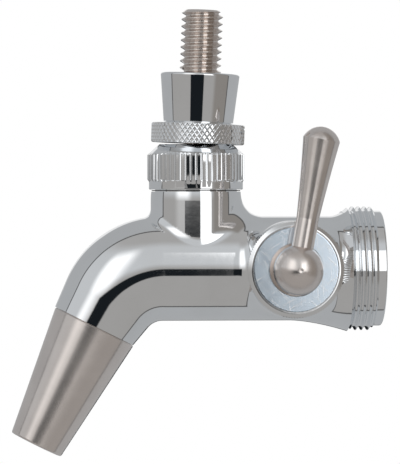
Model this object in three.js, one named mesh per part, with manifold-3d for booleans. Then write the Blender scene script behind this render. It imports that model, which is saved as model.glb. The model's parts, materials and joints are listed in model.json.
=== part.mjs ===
// A beer tap (faucet) with a forward-sealing valve and a side lever that throttles the flow.
// Millimetres, +Z up. The origin is the centre of the rear end face, where the tap screws onto its shank.
// The barrel runs along -X to the spout, the tap lever stands up and the flow lever is on the -Y side.

import * as THREE from 'three';
import { mergeVertices } from 'three/addons/utils/BufferGeometryUtils.js';
import Module from 'manifold-3d';

const wasm = await Module();
wasm.setup();

// ---------------------------------------------------------------- driving dimensions

const INCH = 25.4;
const GAP = 0.15; // between pieces that touch
const THREAD_DEPTH = 0.6134; // of a 60 degree unified thread, as a share of its pitch
const degrees = THREE.MathUtils.degToRad;

// Where the shank's coupling nut screws on.
const COUPLING = {
  major: (1.125 * INCH) / 2,
  pitch: INCH / 18,
  threadFrom: -7.4,
  threadTo: -1.9,
  lipR: 13.25,
};
const SOCKET = { r: 10.9, depth: 5.4, toothR: 11.5, toothDepth: 2, teeth: 24 };
const INLET_GASKET = { inner: 8, outer: 10.7, from: -5.25, to: -3.3 };

// The barrel is round and widens to the coupling, early along its underside and late along its top.
const BARREL_R = 12;
const RIM_X = -7.9;
const UNDER_FLARE = { from: -21, rise: 2.5, power: 1.6 };
const TOP_FLARE = { from: -11.8, rise: 1.95, power: 2 };
const MAIN_BORE_R = 7.6;

// The elbow keeps to an arc and a straight along its outside, and to another pair along its inside.
const ELBOW = {
  outside: { x: -50.8, radius: 23.5, turn: degrees(66.8), straight: 7.1 },
  inside: { x: -50.5, radius: 4.4, turn: degrees(50), straight: 5.26 },
  arcShare: 0.8,
  steps: 10,
};
const NOZZLE = {
  x: -66.1,
  z: -13.2,
  tilt: degrees(26.4),
  length: 30.3,
  topR: 9.95,
  tipR: 6.35,
  boreTopR: 6,
  boreTipR: 5,
  tenonR: 7.2,
  tenonLength: 5.2,
  ringSection: 0.5,
};
const SEAT = { x: -50.8, throatR: 5, bendX: -59.55, bendR: 5.6 };

// The neck, with the lever's ball inside it. Heights are above the barrel's axis.
const NECK = {
  x: -42.75,
  r: 10.4,
  shoulderZ: 17.7,
  spigotR: 9.4,
  topZ: 24.4,
  boreR: 7.8,
  floorZ: 14.2,
  slotR: 6.2,
};
const NECK_FOOT = { topZ: 16.6, bottomZ: 12, rootZ: 8, inset: 0.1, front: 1.6, rear: 4.8 };
const BONNET = {
  gasketZ: 17.85,
  bottomZ: 18.2,
  collarR: 10.8,
  fluteZ: 20.15,
  fluteR: 11.2,
  fluteDepth: 0.4,
  flutes: 56,
  shoulderZ: 26.1,
  topZ: 28.6,
  topR: 8.6,
  holeR: 7.3,
  boreR: 9.6,
  ceilingZ: 25.1,
};

// The tap lever, measured up and down from the centre of its ball.
const PIVOT_Z = 19;
const LEVER_LEAN = degrees(2.2); // shut, towards the rear
const LEVER = { ballR: 6.5, shankR: 3.2, stepH: 12.5, tipH: 40.5 };
// The finger is waisted, to tilt in the shaft's slot.
const FINGER = { r: 2, waistR: 1.35, waist: 8, tipR: 2.4, reach: 19 };
const STUD = { major: (0.375 * INCH) / 2, pitch: INCH / 16, threadH: 24.6, chamfer: 0.8 };
const CUP = { ballR: 6.7, outer: 7.6, holeR: 5.6 };
const LOCK_RING = {
  r: 10.75,
  fromH: 9.75,
  toH: 14.35,
  dishR: 9.45,
  dishH: 12.3,
  chamfer: 0.45,
  boreR: 6.2,
};
const KNURL = { around: 36, rows: 2, depth: 0.35 };
const JACKET = {
  fromH: 14.5,
  toH: 25.9,
  bottomR: 8,
  topR: 9.05,
  edge: 0.5,
  boreR: 4.95,
  tailR: 6,
  tailH: 12.45,
};

// The sliding shaft that the lever's finger moves.
const SHAFT = { noseX: -51.6, headX: -48.7, tailX: -37.1, noseR: 4.2, r: 4.4, headR: 6.2 };
const GUIDE = { r: 7.4, notches: 4, notchR: 2.1, notchAt: 6.9, thick: 1.4 };
const SLOT_HALF = 2.65;

// The flow control. V is measured from the barrel's axis towards -Y.
const BOSS = { x: -21.2, r: 11.05, faceV: 12.9, spigotR: 10, spigotV: 14.2, seatR: 9.5, seatV: 12.2 };
const CROSS_BORE = { r: 8.4, endV: -6.5, journalR: 3.2, journalV: -9.4 };
const PLUG = {
  r: 8.2,
  endV: -6.2,
  journalR: 3,
  journalV: -9.2,
  portR: 5.3,
  flangeR: 9.3,
  flangeV: 12.95,
  topV: 13.95,
};
const PLUG_GROOVE = { floorR: 6.95, half: 0.75, at: [9.1, 11.1], ringR: 7.65, section: 0.6 };
const RETAINER = {
  fromV: 13.05,
  toV: 15.6,
  webV: 14.35,
  floorV: 14.9,
  webR: 7.5,
  recessR: 9.8,
  bevel: 0.55,
};
const DISC = { inner: 6.05, outer: 9.65, fromV: 15.05, toV: 15.55 };
const HUB = { r: 5.7, v: 19.7, neckR: 4.6, shoulderV: 14.2, stemHalf: 1.9, stemV: 9.4, flatAt: 5.1 };
const FLOW_LEAN = degrees(10); // fully open, towards the rear
const ARM = {
  footH: 2.2,
  r: 2.55,
  straightTo: 11.8,
  midAt: 22,
  midR: 3.3,
  topAt: 30,
  topR: 4.2,
  domeH: 2.9,
  tenonR: 1.5,
};

const ROUND = 32; // sides of a large round piece
const FINE = 20; // sides of a small or hidden one

// ---------------------------------------------------------------- shape tools

// A closed geometry as a solid that can be joined and cut, turned to face outward.
function solid(geometry) {
  const bare = new THREE.BufferGeometry();
  const loose = geometry.index ? geometry.toNonIndexed() : geometry;
  bare.setAttribute('position', loose.getAttribute('position'));
  const merged = mergeVertices(bare, 1e-4);
  const vertProperties = new Float32Array(merged.attributes.position.array);
  const triVerts = new Uint32Array(merged.index.array);
  if (signedVolume(vertProperties, triVerts) < 0) {
    for (let i = 0; i < triVerts.length; i += 3) {
      [triVerts[i], triVerts[i + 1]] = [triVerts[i + 1], triVerts[i]];
    }
  }
  return new wasm.Manifold(new wasm.Mesh({ numProp: 3, vertProperties, triVerts }));
}

function signedVolume(points, index) {
  const corner = (i) => new THREE.Vector3().fromArray(points, 3 * index[i]);
  let six = 0;
  for (let i = 0; i < index.length; i += 3) {
    six += corner(i).dot(corner(i + 1).cross(corner(i + 2)));
  }
  return six / 6;
}

function geometryOf(made) {
  const mesh = made.getMesh();
  const geometry = new THREE.BufferGeometry();
  geometry.setAttribute('position', new THREE.BufferAttribute(mesh.vertProperties, 3));
  geometry.setIndex(new THREE.BufferAttribute(mesh.triVerts, 1));
  const facets = geometry.toNonIndexed();
  facets.computeVertexNormals();
  return facets;
}

// Points on an arc of a turned profile, between two angles in degrees. 0 points away from the axis.
function arc(r, h, radius, from, to, steps = 6) {
  return Array.from({ length: steps + 1 }, (_, i) => {
    const a = degrees(from + ((to - from) * i) / steps);
    return [Math.max(0, r + radius * Math.cos(a)), h + radius * Math.sin(a)];
  });
}

// A profile of [radius, height] points turned about Z. It starts and ends on the axis, or closes on itself.
function turned(profile, sides = ROUND) {
  const points = profile.map(([r, h]) => new THREE.Vector2(r, h));
  if (points[0].x > 0) points.push(points[0].clone());
  return new THREE.LatheGeometry(points, sides).rotateX(Math.PI / 2);
}

const rod = (r, from, to, sides = ROUND) => turned([[0, from], [r, from], [r, to], [0, to]], sides);
const ring = (inner, outer, from, to, sides = FINE) =>
  turned([[inner, from], [outer, from], [outer, to], [inner, to]], sides);
const oRing = (r, section, at) => turned(arc(r, at, section, 0, 300, 5), FINE);

// A geometry made about Z is laid along X, or along -Y at the boss.
const alongX = (geometry) => geometry.rotateY(Math.PI / 2);
const atBoss = (geometry) => geometry.rotateX(Math.PI / 2).translate(BOSS.x, 0, 0);

function block(x, y, z) {
  const made = new THREE.BoxGeometry(x[1] - x[0], y[1] - y[0], z[1] - z[0]);
  return made.translate((x[0] + x[1]) / 2, (y[0] + y[1]) / 2, (z[0] + z[1]) / 2);
}

// A bar along Z with straight teeth around it.
function toothed(outer, depth, teeth, from, to) {
  const outline = Array.from({ length: 2 * teeth }, (_, i) => {
    const a = (Math.PI * i) / teeth;
    const r = i % 2 ? outer - depth : outer;
    return new THREE.Vector2(r * Math.cos(a), r * Math.sin(a));
  });
  const options = { depth: to - from, bevelEnabled: false };
  const made = new THREE.ExtrudeGeometry(new THREE.Shape(outline), options);
  return made.translate(0, 0, from);
}

// A closed skin over loops of points, each loop running round the piece, with a point to close either end.
function skin(loops, firstEnd, lastEnd, splitAt = () => 0) {
  const sides = loops[0].length;
  const positions = [...loops.flat(2), ...firstEnd, ...lastEnd];
  const index = [];
  const at = (i, j) => i * sides + (j % sides);
  const first = loops.length * sides;
  const last = loops.length - 1;
  for (let i = 0; i < last; i++) {
    for (let j = 0; j < sides; j++) {
      const [a, b, c, d] = [at(i, j), at(i, j + 1), at(i + 1, j + 1), at(i + 1, j)];
      index.push(...(splitAt(i, j) ? [a, b, c, a, c, d] : [a, b, d, b, c, d]));
    }
  }
  for (let j = 0; j < sides; j++) {
    index.push(first, at(0, j + 1), at(0, j), first + 1, at(last, j), at(last, j + 1));
  }
  const geometry = new THREE.BufferGeometry();
  geometry.setAttribute('position', new THREE.Float32BufferAttribute(positions, 3));
  geometry.setIndex(index);
  return geometry;
}

// A tube over round sections, each given by its two opposite points [x, z] in the middle plane.
function tube(sections, sides = ROUND) {
  const middle = ([a, b]) => [(a[0] + b[0]) / 2, 0, (a[1] + b[1]) / 2];
  const loops = sections.map(([a, b]) => {
    const [x, , z] = middle([a, b]);
    const radius = Math.hypot(a[0] - b[0], a[1] - b[1]) / 2;
    return Array.from({ length: sides }, (_, j) => {
      const turn = (2 * Math.PI * j) / sides;
      const out = Math.cos(turn);
      return [x + (out * (a[0] - b[0])) / 2, radius * Math.sin(turn), z + (out * (a[1] - b[1])) / 2];
    });
  });
  return skin(loops, middle(sections[0]), middle(sections.at(-1)));
}

// A right-hand thread about Z with sharp crests, one closed body a little longer than from..to.
function screw({ major, pitch }, from, to, sides) {
  const minor = major - THREAD_DEPTH * pitch;
  const rows = 2 * Math.ceil((to - from) / pitch + 2);
  const start = from - 1.5 * pitch;
  const positions = [];
  for (let k = 0; k < rows; k++) {
    for (let j = 0; j < sides; j++) {
      const turn = (2 * Math.PI * j) / sides;
      const r = k % 2 ? major : minor;
      positions.push(r * Math.cos(turn), r * Math.sin(turn), start + pitch * (k / 2 + j / sides));
    }
  }
  // A full turn climbs two rows.
  const at = (k, j) => (j < sides ? k * sides + j : (k + 2) * sides);
  const index = [];
  for (let k = 0; k + 1 < rows; k++) {
    const columns = k + 3 < rows ? sides : sides - 1;
    for (let j = 0; j < columns; j++) {
      index.push(at(k, j), at(k, j + 1), at(k + 1, j), at(k, j + 1), at(k + 1, j + 1), at(k + 1, j));
    }
  }
  const end = rows * sides;
  const top = rows - 1;
  positions.push(0, 0, start - pitch, 0, 0, start + pitch * (rows / 2 + 1));
  const around = (k) => Array.from({ length: sides }, (_, j) => at(k, j));
  const lowLoop = [...around(0), at(2, 0), at(1, 0)];
  const highLoop = [...around(top), at(top - 1, sides - 1), at(top - 2, sides - 1)];
  lowLoop.forEach((v, i) => index.push(end, lowLoop[(i + 1) % lowLoop.length], v));
  highLoop.forEach((v, i) => index.push(end + 1, v, highLoop[(i + 1) % highLoop.length]));
  const geometry = new THREE.BufferGeometry();
  geometry.setAttribute('position', new THREE.Float32BufferAttribute(positions, 3));
  geometry.setIndex(index);
  return geometry;
}

// A bar along Z with chamfered ends, covered with diamond points between them.
function knurled(r, chamfer, from, to) {
  const columns = 2 * KNURL.around;
  const steps = 2 * KNURL.rows;
  const loop = (height, reach) =>
    Array.from({ length: columns }, (_, j) => {
      const turn = (2 * Math.PI * j) / columns;
      return [reach(j) * Math.cos(turn), reach(j) * Math.sin(turn), height];
    });
  const points = Array.from({ length: steps + 1 }, (_, i) => {
    const height = from + chamfer + ((to - from - 2 * chamfer) * i) / steps;
    return loop(height, (j) => ((i + j) % 2 ? r - KNURL.depth : r));
  });
  const end = (height) => loop(height, () => r - chamfer);
  return skin([end(from), ...points, end(to)], [0, 0, from], [0, 0, to], (i, j) => (i + j) % 2 === 0);
}

// ---------------------------------------------------------------- the body

// The two edges of the elbow, as [x, z] a share of the way round it.
function elbowEdge({ x, radius, turn, straight }, side, share) {
  const angle = turn * Math.min(1, share / ELBOW.arcShare);
  const beyond = (straight * Math.max(0, share - ELBOW.arcShare)) / (1 - ELBOW.arcShare);
  const drop = radius * (1 - Math.cos(angle)) + beyond * Math.sin(turn);
  const advance = radius * Math.sin(angle) + beyond * Math.cos(turn);
  return [x - advance, side * BARREL_R - drop];
}

function barrelSection(x) {
  const rise = (flare) => flare.rise * Math.max(0, (x - flare.from) / (RIM_X - flare.from)) ** flare.power;
  return [[x, BARREL_R + rise(TOP_FLARE)], [x, -BARREL_R - rise(UNDER_FLARE)]];
}

function barrelAndElbow() {
  const barrel = [RIM_X, -8.6, -9.3, -10.2, -11.8, -14, -17, -21, -35].map(barrelSection);
  const elbow = Array.from({ length: ELBOW.steps + 1 }, (_, i) => [
    elbowEdge(ELBOW.outside, 1, i / ELBOW.steps),
    elbowEdge(ELBOW.inside, -1, i / ELBOW.steps),
  ]);
  return tube([...barrel, ...elbow]);
}

// The neck spreads to the front and the rear where it meets the barrel. Its root is inside the barrel.
function neckFoot() {
  const { topZ, bottomZ, rootZ, inset, front, rear } = NECK_FOOT;
  const steps = 6;
  const r = NECK.r - inset;
  const loop = (z, spread) =>
    Array.from({ length: ROUND }, (_, j) => {
      const turn = (2 * Math.PI * j) / ROUND;
      const reach = r + spread * (Math.cos(turn) > 0 ? rear : front);
      return [NECK.x + reach * Math.cos(turn), r * Math.sin(turn), z];
    });
  const loops = Array.from({ length: steps + 1 }, (_, i) => {
    const down = i / steps;
    return loop(topZ + (bottomZ - topZ) * down, 1 - Math.sqrt(1 - down ** 2));
  });
  return skin([...loops, loop(rootZ, 1)], [NECK.x, 0, topZ], [NECK.x, 0, rootZ]);
}

// Geometry made about Z with its mouth at height 0, carried to the end of the elbow.
const atNozzle = (geometry) => geometry.rotateY(NOZZLE.tilt).translate(NOZZLE.x, 0, NOZZLE.z);

function couplingThread() {
  const { major, pitch, threadFrom, threadTo, lipR } = COUPLING;
  const root = lipR - 0.5;
  const fade = major - root;
  const envelope = turned([
    [0, threadFrom],
    [root, threadFrom],
    [major + GAP, threadFrom + fade],
    [major + GAP, threadTo - fade],
    [root, threadTo],
    [0, threadTo],
  ]);
  const thread = screw({ major, pitch }, threadFrom, threadTo, ROUND);
  return solid(alongX(thread)).intersect(solid(alongX(envelope)));
}

function faucetBody() {
  const neck = turned([
    [0, 0],
    [NECK.r, 0],
    [NECK.r, NECK.shoulderZ],
    [NECK.spigotR, NECK.shoulderZ],
    [NECK.spigotR, NECK.topZ],
    [0, NECK.topZ],
  ]);
  const boss = turned([
    [0, 0],
    [BOSS.r, 0],
    [BOSS.r, BOSS.faceV],
    [BOSS.spigotR, BOSS.faceV],
    [BOSS.spigotR, BOSS.spigotV],
    [0, BOSS.spigotV],
  ]);
  const collar = turned([
    [0, RIM_X - 1],
    [COUPLING.lipR, RIM_X - 1],
    [COUPLING.lipR, -0.3],
    [COUPLING.lipR - 0.3, 0],
    [0, 0],
  ]);
  const outside = solid(barrelAndElbow())
    .add(solid(neck.translate(NECK.x, 0, 0)))
    .add(solid(neckFoot()))
    .add(solid(atBoss(boss)))
    .add(solid(alongX(collar)))
    .add(couplingThread());
  const passages = [
    alongX(rod(MAIN_BORE_R, SEAT.x, 1)),
    alongX(rod(SOCKET.r, -SOCKET.depth, 1)),
    alongX(toothed(SOCKET.toothR, SOCKET.toothR - SOCKET.r + 0.1, SOCKET.teeth, -SOCKET.toothDepth, 1)),
    alongX(rod(SEAT.throatR, SEAT.bendX, SEAT.x + 1)),
    new THREE.SphereGeometry(SEAT.bendR, FINE, FINE / 2).translate(SEAT.bendX, 0, 0),
    atNozzle(rod(SEAT.throatR, -2, -NOZZLE.z / Math.cos(NOZZLE.tilt))),
    atNozzle(rod(NOZZLE.tenonR + GAP, -1, NOZZLE.tenonLength + 2.8 * NOZZLE.ringSection)),
    rod(NECK.slotR, 0, NECK.floorZ + 1).translate(NECK.x, 0, 0),
    rod(NECK.boreR, NECK.floorZ, NECK.topZ + 1).translate(NECK.x, 0, 0),
    atBoss(rod(CROSS_BORE.r, CROSS_BORE.endV, BOSS.spigotV + 1)),
    atBoss(rod(CROSS_BORE.journalR, CROSS_BORE.journalV, 0, FINE)),
    atBoss(rod(BOSS.seatR, BOSS.seatV, BOSS.spigotV + 1)),
  ];
  return passages.reduce((whole, passage) => whole.subtract(solid(passage)), outside);
}

function spoutNozzle() {
  const { length, topR, tipR, boreTopR, boreTipR, tenonR, tenonLength } = NOZZLE;
  const edge = 0.7;
  return solid(
    atNozzle(
      turned([
        [tenonR, tenonLength],
        [tenonR, -GAP],
        [topR - 0.2, -GAP],
        [topR, -GAP - 0.2],
        [tipR + 0.1, -length + edge],
        ...arc(tipR - edge, -length + edge, edge, 0, -90, 3),
        [boreTipR + 0.3, -length],
        [boreTipR, -length + 0.4],
        [boreTopR, tenonLength],
      ]),
    ),
  );
}

const nozzleORing = () => {
  const { tenonR, tenonLength, ringSection } = NOZZLE;
  return solid(atNozzle(oRing(tenonR - 1.2 * ringSection, ringSection, tenonLength + 1.4 * ringSection)));
};

const couplingGasket = () => {
  const { inner, outer, from, to } = INLET_GASKET;
  return solid(alongX(ring(inner, outer, from, to)));
};

// ---------------------------------------------------------------- the tap lever and what holds its ball

// Geometry made about Z with the ball's centre at height 0, carried to the leaning lever.
const onLever = (geometry) => geometry.rotateY(LEVER_LEAN).translate(NECK.x, 0, PIVOT_Z);
const onNeck = (geometry) => geometry.translate(NECK.x, 0, 0);

function tapLever() {
  const { ballR, shankR, stepH, tipH } = LEVER;
  const { r, waistR, waist, tipR, reach } = FINGER;
  const core = STUD.major - THREAD_DEPTH * STUD.pitch;
  const threadEnvelope = turned(
    [
      [0, STUD.threadH],
      [STUD.major + GAP, STUD.threadH],
      [STUD.major + GAP, tipH - STUD.chamfer],
      [STUD.major - STUD.chamfer, tipH],
      [0, tipH],
    ],
    FINE,
  );
  const ridge = screw(STUD, STUD.threadH, tipH, FINE);
  const thread = solid(onLever(ridge)).intersect(solid(onLever(threadEnvelope)));
  return solid(onLever(new THREE.SphereGeometry(ballR, FINE, FINE / 2).rotateX(Math.PI / 2)))
    .add(solid(onLever(rod(shankR, 0, stepH + 1, FINE))))
    .add(solid(onLever(rod(STUD.major, stepH, STUD.threadH + 0.1, FINE))))
    .add(solid(onLever(rod(core - 0.1, STUD.threadH - 1, tipH - 0.5, FINE))))
    .add(thread)
    .add(solid(onLever(rod(r, waist - reach, 0, FINE))))
    .add(solid(onLever(rod(waistR, -reach, waist - reach + 1, FINE))))
    .add(solid(onLever(new THREE.SphereGeometry(tipR, FINE, FINE / 2).translate(0, 0, -reach))));
}

function leverJacket() {
  const { fromH, toH, bottomR, topR, edge, boreR, tailR, tailH } = JACKET;
  return solid(
    onLever(
      turned([
        [boreR, tailH],
        [tailR, tailH],
        [tailR, fromH],
        [bottomR - 0.2, fromH],
        [bottomR, fromH + 0.2],
        ...arc(topR - edge, toH - edge, edge, 0, 90, 4),
        [boreR, toH],
      ]),
    ),
  );
}

function jacketLockRing() {
  const { r, fromH, toH, dishR, dishH, chamfer, boreR } = LOCK_RING;
  return solid(onLever(knurled(r, chamfer, fromH, toH)))
    .subtract(solid(onLever(rod(boreR, fromH - 1, toH + 1))))
    .subtract(solid(onLever(rod(dishR, fromH - 1, dishH))));
}

function bonnet() {
  const b = BONNET;
  const cone = turned([
    [0, b.fluteZ - 0.5],
    [b.collarR - 0.2, b.fluteZ - 0.5],
    [b.fluteR + GAP, b.fluteZ + 0.2],
    [b.fluteR + GAP, b.shoulderZ - GAP],
    [b.topR, b.topZ],
    [0, b.topZ],
  ]);
  const collar = turned([
    [0, b.bottomZ],
    [b.collarR - 0.2, b.bottomZ],
    [b.collarR, b.bottomZ + 0.2],
    [b.collarR, b.fluteZ],
    [0, b.fluteZ],
  ]);
  return solid(onNeck(toothed(b.fluteR, b.fluteDepth, b.flutes, b.fluteZ - 0.5, b.topZ)))
    .intersect(solid(onNeck(cone)))
    .add(solid(onNeck(collar)))
    .subtract(solid(onNeck(rod(b.boreR, b.bottomZ - 1, b.ceilingZ))))
    .subtract(solid(onNeck(rod(b.holeR, b.ceilingZ - 1, b.topZ + 1))));
}

const bonnetGasket = () =>
  solid(onNeck(ring(NECK.spigotR + GAP, NECK.r - 0.2, BONNET.gasketZ, BONNET.bottomZ - GAP)));
const frictionWasher = () =>
  solid(onNeck(ring(CUP.holeR + 0.4, NECK.spigotR - 0.2, NECK.topZ + GAP, BONNET.ceilingZ - GAP)));

// The cups stop short of the ball's equator, where its seal runs.
const CUP_EQUATOR = 7; // degrees

function lowerBallCup() {
  const bottom = NECK.floorZ + GAP;
  const low = THREE.MathUtils.radToDeg(Math.asin((bottom - PIVOT_Z) / CUP.ballR));
  const inside = arc(0, PIVOT_Z, CUP.ballR, -CUP_EQUATOR, low, 4);
  return solid(onNeck(turned([...inside, [CUP.outer, bottom], [CUP.outer, inside[0][1]]], FINE)));
}

function upperBallCup() {
  const top = NECK.topZ - 0.2;
  const high = THREE.MathUtils.radToDeg(Math.acos(CUP.holeR / CUP.ballR));
  const inside = arc(0, PIVOT_Z, CUP.ballR, CUP_EQUATOR, high, 4);
  const outside = [[CUP.holeR, top], [CUP.outer, top], [CUP.outer, inside[0][1]]];
  return solid(onNeck(turned([...inside, ...outside], FINE)));
}

const ballORing = () => solid(onNeck(oRing(LEVER.ballR + 0.65, 0.5, PIVOT_Z)));

// ---------------------------------------------------------------- the sliding shaft

const FINGER_X = NECK.x - FINGER.reach * Math.sin(LEVER_LEAN);

// A disc that runs in the bore and lets the beer past through its notches.
function guide(from) {
  const disc = solid(alongX(rod(GUIDE.r, from, from + GUIDE.thick)));
  const notches = Array.from({ length: GUIDE.notches }, (_, i) => {
    const turn = (2 * Math.PI * (i + 0.5)) / GUIDE.notches;
    const notch = rod(GUIDE.notchR, from - 1, from + GUIDE.thick + 1, FINE);
    return alongX(notch.translate(GUIDE.notchAt * Math.cos(turn), GUIDE.notchAt * Math.sin(turn), 0));
  });
  return notches.reduce((whole, notch) => whole.subtract(solid(notch)), disc);
}

function valveShaft() {
  const { noseX, headX, tailX, noseR, r, headR } = SHAFT;
  const slot = [FINGER_X - SLOT_HALF, FINGER_X + SLOT_HALF];
  const half = [-SLOT_HALF, SLOT_HALF];
  return solid(alongX(rod(noseR, noseX, headX + 1, FINE)))
    .add(solid(alongX(rod(headR, headX, headX + 1.2, FINE))))
    .add(solid(alongX(rod(r, headX, tailX, FINE))))
    .add(guide(headX))
    .add(guide(tailX - GUIDE.thick))
    .subtract(solid(block(slot, half, [-2 * r, 2 * r])));
}

const shaftSeatORing = () => solid(alongX(oRing(SHAFT.noseR + 0.75, 0.6, (SEAT.x + SHAFT.headX) / 2)));

// ---------------------------------------------------------------- the flow control

function flowPlug() {
  const { r, endV, journalR, journalV, portR, flangeR, flangeV, topV } = PLUG;
  const grooves = PLUG_GROOVE.at.flatMap((v) => [
    [r, v - PLUG_GROOVE.half],
    [PLUG_GROOVE.floorR, v - PLUG_GROOVE.half],
    [PLUG_GROOVE.floorR, v + PLUG_GROOVE.half],
    [r, v + PLUG_GROOVE.half],
  ]);
  const outline = turned([
    [0, journalV],
    [journalR, journalV],
    [journalR, endV],
    [r, endV],
    ...grooves,
    [r, flangeV],
    [flangeR, flangeV],
    [flangeR, topV],
    [0, topV],
  ]);
  const across = HUB.stemHalf + GAP;
  const socket = block([-across, across], [-across, across], [HUB.stemV - GAP, topV + 1]);
  return solid(atBoss(outline))
    .subtract(solid(alongX(rod(portR, BOSS.x - 2 * r, BOSS.x + 2 * r))))
    .subtract(solid(atBoss(socket.rotateZ(FLOW_LEAN))));
}

const plugORing = (v) => solid(atBoss(oRing(PLUG_GROOVE.ringR, PLUG_GROOVE.section, v)));
const thrustWasher = () =>
  solid(atBoss(ring(PLUG.r + GAP, PLUG.flangeR, BOSS.seatV + GAP, PLUG.flangeV - GAP)));
const waveWasher = () =>
  solid(atBoss(ring(RETAINER.webR + 0.2, PLUG.flangeR - 0.1, PLUG.topV + 0.08, RETAINER.webV - 0.08)));

function flowRetainingRing() {
  const { fromV, toV, webV, floorV, webR, recessR, bevel } = RETAINER;
  const threadR = BOSS.spigotR + GAP;
  return solid(
    atBoss(
      turned([
        [threadR, fromV],
        [BOSS.r - 0.15, fromV],
        [BOSS.r, fromV + 0.15],
        [BOSS.r, toV - bevel],
        [BOSS.r - bevel, toV],
        [recessR, toV],
        [recessR, floorV],
        [webR, floorV],
        [webR, webV],
        [threadR, webV],
      ]),
    ),
  );
}

const flowCapDisc = () => solid(atBoss(ring(DISC.inner, DISC.outer, DISC.fromV, DISC.toV, ROUND)));

function flowLeverHub() {
  const { r, v, neckR, shoulderV, stemHalf, stemV, flatAt } = HUB;
  const ball = new THREE.SphereGeometry(r, FINE, FINE / 2).rotateX(Math.PI / 2).translate(0, 0, v);
  const half = [-stemHalf, stemHalf];
  const flat = block([-r, r], [-v - r, -v + r], [flatAt, 2 * r]);
  const hole = rod(ARM.tenonR + GAP, ARM.footH - GAP, 2 * r, FINE).translate(0, -v, 0);
  const atArm = (geometry) => geometry.rotateY(FLOW_LEAN).translate(BOSS.x, 0, 0);
  return solid(atBoss(ball))
    .add(solid(atBoss(rod(neckR, shoulderV, v - 2, FINE))))
    .add(solid(atBoss(block(half, half, [stemV, shoulderV + 1]).rotateZ(FLOW_LEAN))))
    .subtract(solid(atArm(flat)))
    .subtract(solid(atArm(hole)));
}

function flowLeverArm() {
  const { footH, r, straightTo, midAt, midR, topAt, topR, domeH, tenonR } = ARM;
  const foot = HUB.flatAt + GAP;
  const domeR = (topR ** 2 + domeH ** 2) / (2 * domeH);
  const domeAt = topAt + domeH - domeR;
  const domeFrom = THREE.MathUtils.radToDeg(Math.acos(topR / domeR));
  const outline = turned(
    [
      [0, footH],
      [tenonR, footH],
      [tenonR, foot],
      [r, foot],
      [r, straightTo],
      [(r + midR) / 2 - 0.1, (straightTo + midAt) / 2],
      [midR, midAt],
      ...arc(0, domeAt, domeR, domeFrom, 90, 6),
    ],
    FINE,
  );
  return solid(outline.rotateY(FLOW_LEAN).translate(BOSS.x, -HUB.v, 0));
}

// ---------------------------------------------------------------- looks and the assembly

const LOOKS = {
  chrome: { color: 0xd9dadc, roughness: 0.06, metalness: 1 },
  stainless: { color: 0xb5aca1, roughness: 0.34, metalness: 1 },
  spring: { color: 0xc0c0be, roughness: 0.4, metalness: 1 },
  rubber: { color: 0x161616, roughness: 0.75, metalness: 0 },
  acetal: { color: 0xe9e7e0, roughness: 0.5, metalness: 0 },
};

const PIECES = [
  ['faucet_body', 'chrome', faucetBody()],
  ['spout_nozzle', 'stainless', spoutNozzle()],
  ['nozzle_o_ring', 'rubber', nozzleORing()],
  ['coupling_gasket', 'rubber', couplingGasket()],
  ['bonnet', 'chrome', bonnet()],
  ['bonnet_gasket', 'rubber', bonnetGasket()],
  ['friction_washer', 'spring', frictionWasher()],
  ['upper_ball_cup', 'acetal', upperBallCup()],
  ['ball_o_ring', 'rubber', ballORing()],
  ['lower_ball_cup', 'acetal', lowerBallCup()],
  ['tap_lever', 'stainless', tapLever()],
  ['lever_jacket', 'chrome', leverJacket()],
  ['jacket_lock_ring', 'chrome', jacketLockRing()],
  ['valve_shaft', 'stainless', valveShaft()],
  ['shaft_seat_o_ring', 'rubber', shaftSeatORing()],
  ['flow_plug', 'stainless', flowPlug()],
  ['flow_plug_o_ring_inner', 'rubber', plugORing(PLUG_GROOVE.at[0])],
  ['flow_plug_o_ring_outer', 'rubber', plugORing(PLUG_GROOVE.at[1])],
  ['flow_thrust_washer', 'acetal', thrustWasher()],
  ['flow_wave_washer', 'spring', waveWasher()],
  ['flow_retaining_ring', 'chrome', flowRetainingRing()],
  ['flow_cap_disc', 'chrome', flowCapDisc()],
  ['flow_lever_hub', 'stainless', flowLeverHub()],
  ['flow_lever_arm', 'stainless', flowLeverArm()],
];

const tap = new THREE.Group();
tap.name = 'forward_sealing_beer_tap';
for (const [name, look, made] of PIECES) {
  const material = new THREE.MeshStandardMaterial(LOOKS[look]);
  material.name = look;
  const mesh = new THREE.Mesh(geometryOf(made), material);
  mesh.name = name;
  tap.add(mesh);
}

export default tap;
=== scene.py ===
"""A chrome beer faucet: tapered satin nozzle, threaded tap lever and a side lever that throttles the flow.

The shapes are worked out in millimetres, each about its own axis, and placed in the frame in metres.
"""

import json
import math

import bmesh
import bpy
import numpy as np
from mathutils import Matrix, Vector


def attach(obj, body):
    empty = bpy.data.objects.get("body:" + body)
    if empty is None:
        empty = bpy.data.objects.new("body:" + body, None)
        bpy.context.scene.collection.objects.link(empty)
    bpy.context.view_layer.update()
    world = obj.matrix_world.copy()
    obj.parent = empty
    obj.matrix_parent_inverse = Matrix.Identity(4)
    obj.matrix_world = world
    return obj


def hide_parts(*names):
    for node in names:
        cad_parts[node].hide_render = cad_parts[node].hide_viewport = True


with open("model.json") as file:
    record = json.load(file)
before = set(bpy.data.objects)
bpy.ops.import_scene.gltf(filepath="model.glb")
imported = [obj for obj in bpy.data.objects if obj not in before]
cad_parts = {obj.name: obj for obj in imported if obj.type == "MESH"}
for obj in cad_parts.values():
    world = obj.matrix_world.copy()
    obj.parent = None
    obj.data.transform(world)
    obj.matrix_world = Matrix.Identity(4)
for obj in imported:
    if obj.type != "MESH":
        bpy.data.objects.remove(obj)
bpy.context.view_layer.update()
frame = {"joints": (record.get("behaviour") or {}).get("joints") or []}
joints = {joint["name"]: joint for joint in frame["joints"]}
scene = bpy.context.scene

# ------------------------------------------------------------------ driving dimensions, in millimetres

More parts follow.
